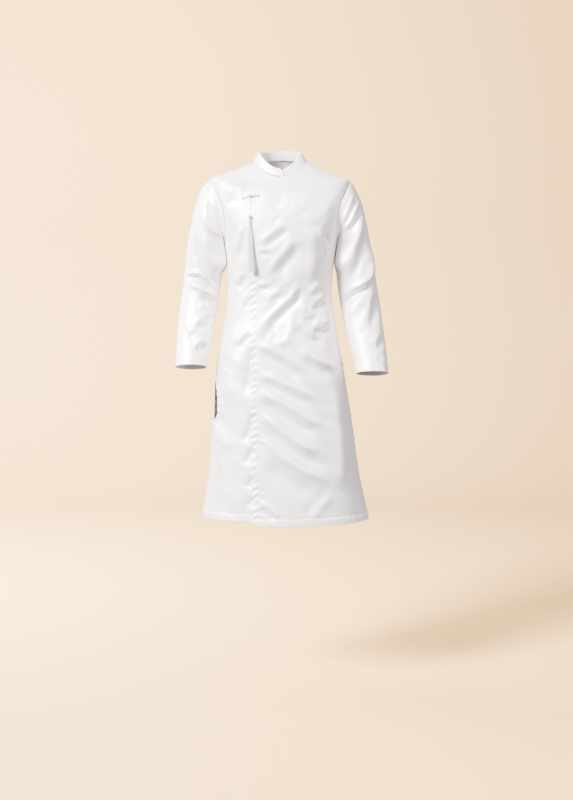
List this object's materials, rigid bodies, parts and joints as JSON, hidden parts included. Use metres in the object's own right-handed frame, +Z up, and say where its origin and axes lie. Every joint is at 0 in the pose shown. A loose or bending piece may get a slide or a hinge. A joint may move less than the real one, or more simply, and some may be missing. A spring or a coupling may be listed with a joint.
{
  "type": "ao dai tunic",
  "caption": "Long satin tunic with a stand collar, side-overlapping front with a puckered placket, frog closure with a hanging tassel, set-in sleeves and side vents, shaped as worn",
  "frame": {"origin": "middle of the neck base between the two shoulder seams, on the axis of the neck", "axes": "+Z up along the body, -Y out of the front of the tunic, +X towards the wearer's left"},
  "size_m": [0.6303, 0.2998, 1.1035],
  "materials": {
    "satin_front_left": "white satin",
    "satin_front_placket": "white satin, folded and topstitched",
    "satin_front_right": "white satin",
    "satin_back": "white satin",
    "satin_sleeve_left": "white satin",
    "satin_sleeve_right": "white satin",
    "satin_collar": "white satin, stiffened",
    "cord_frog_knot": "white silk cord",
    "cord_frog_wing_right": "white silk cord",
    "cord_frog_wing_left": "white silk cord",
    "cord_tassel": "white silk cord",
    "silk_bead": "thread-wrapped bead",
    "silk_tassel": "white silk floss"
  },
  "bodies": {
    "root": {"front_left": "satin_front_left", "front_placket": "satin_front_placket", "front_right": "satin_front_right", "back": "satin_back", "sleeve_left": "satin_sleeve_left", "sleeve_right": "satin_sleeve_right", "collar": "satin_collar", "frog_knot": "cord_frog_knot", "frog_wing_right": "cord_frog_wing_right", "frog_wing_left": "cord_frog_wing_left", "tassel_cord": "cord_tassel", "tassel_bead": "silk_bead", "tassel": "silk_tassel"}
  },
  "joints": []
}
